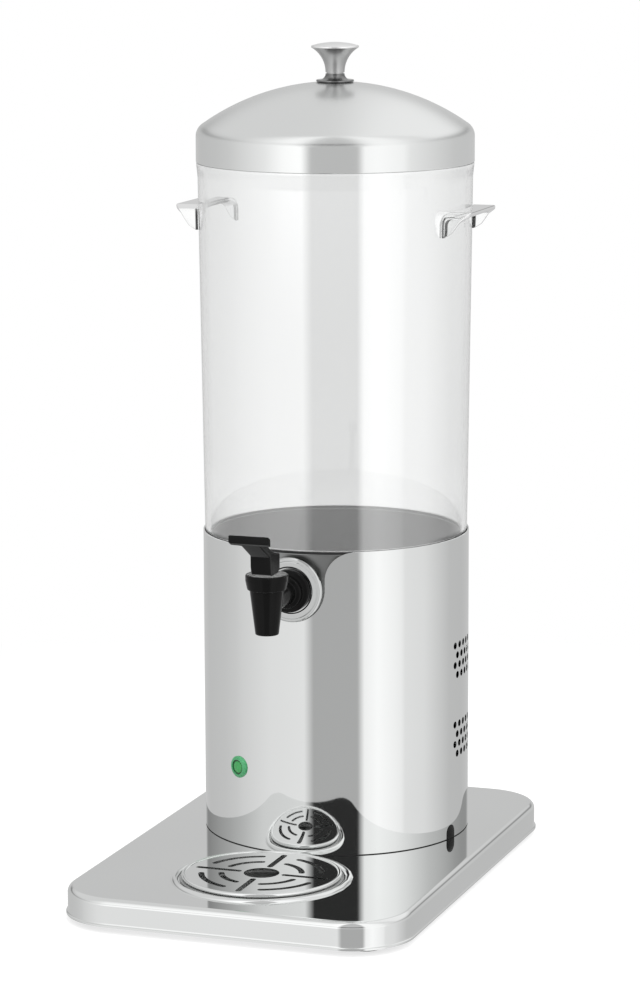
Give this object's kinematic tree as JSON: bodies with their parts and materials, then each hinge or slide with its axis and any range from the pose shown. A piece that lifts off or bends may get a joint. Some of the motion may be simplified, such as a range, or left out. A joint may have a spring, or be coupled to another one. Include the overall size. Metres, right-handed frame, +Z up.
{
  "type": "refrigerated drink dispenser",
  "caption": "Countertop drink dispenser: clear lift-out tank with lever tap and domed lid, on a round cooled steel housing and flat base plate with drip tray.",
  "frame": {"origin": "on the floor under the middle of the base plate", "axes": "+Z up, front with the tap and drip tray towards -Y, +X to the right seen from the front"},
  "size_m": [0.222, 0.334, 0.5242],
  "materials": {
    "polished_steel": "mirror polished",
    "knob_chrome": "chrome plated",
    "clear_plastic": "clear, gloss",
    "tap_black": "gloss black",
    "black_plastic": "fine satin",
    "black_rubber": "matt",
    "soft_white": "silicone",
    "plain_steel": "satin",
    "aluminium": "extruded, plain",
    "ceramic": "plain",
    "foam": "closed-cell foam",
    "lamp_green": "translucent green"
  },
  "bodies": {
    "base": {"base_plate": "polished_steel", "bottom_cover": "plain_steel", "rubber_feet": "black_rubber", "foot_screws": "plain_steel", "base_gasket": "black_rubber", "housing_shell": "polished_steel", "housing_screws": "plain_steel", "base_clips": "black_plastic", "insulation_sleeve": "foam", "support_deck": "black_plastic", "cold_plate": "aluminium", "cooling_module": "ceramic", "heat_sink": "aluminium", "fan_frame": "black_plastic", "tie_rods": "plain_steel", "power_supply": "black_plastic", "lamp_bezel": "lamp_green", "lamp_lens": "lamp_green", "switch_frame": "black_plastic", "cord_inlet": "black_plastic", "inlet_nut": "black_plastic"},
    "fan": {"fan_rotor": "black_plastic"},
    "rocker": {"switch_rocker": "black_plastic"},
    "tray": {"drip_tray": "polished_steel"},
    "grid": {"drip_grid": "polished_steel"},
    "tank": {"tank_cup": "polished_steel", "cup_seal": "black_rubber", "tank_tube": "clear_plastic", "handle_left": "clear_plastic", "handle_right": "clear_plastic", "tap_seat_ring": "polished_steel", "tap_collar": "tap_black", "tap_body": "tap_black", "tap_gasket": "soft_white", "tap_nut": "tap_black", "tap_bonnet": "tap_black", "tap_spring": "plain_steel"},
    "stem": {"valve_stem": "tap_black", "valve_seat_cup": "soft_white"},
    "lever": {"tap_lever": "tap_black", "lever_pin": "plain_steel"},
    "lid": {"lid_dome": "polished_steel", "knob_foot": "knob_chrome", "knob_top": "knob_chrome", "knob_screw": "plain_steel"}
  },
  "joints": [
    {"name": "fan_spin", "type": "hinge", "parent": "base", "child": "fan", "pos_m": [0, 0.052, 0.0985], "axis": [0, 0, 1], "continuous": true},
    {"name": "rocker_tilt", "type": "hinge", "parent": "base", "child": "rocker", "pos_m": [0, 0.1355, 0.105], "axis": [1, 0, 0], "range_deg": [-8, 8]},
    {"name": "tray_lift", "type": "slide", "parent": "base", "child": "tray", "axis": [0, 0, 1], "range_m": [0, 0.03]},
    {"name": "grid_lift", "type": "slide", "parent": "tray", "child": "grid", "axis": [0, 0, 1], "range_m": [0, 0.03]},
    {"name": "tank_lift", "type": "slide", "parent": "base", "child": "tank", "axis": [0, 0, 1], "range_m": [0, 0.07]},
    {"name": "stem_lift", "type": "slide", "parent": "tank", "child": "stem", "axis": [0, 0, 1], "range_m": [0, 0.003], "stiffness_N_per_m": 600, "springref_m": -0.004, "deforming": ["tap_spring"]},
    {"name": "lever_tilt", "type": "hinge", "parent": "stem", "child": "lever", "pos_m": [0, -0.0775, 0.2165], "axis": [1, 0, 0], "range_deg": [0, 28]},
    {"name": "lid_lift", "type": "slide", "parent": "tank", "child": "lid", "axis": [0, 0, 1], "range_m": [0, 0.06]}
  ],
  "couplings": [
    {"joint": "lever_tilt", "follows": "stem_lift", "rad_per_m": 162.89}
  ]
}
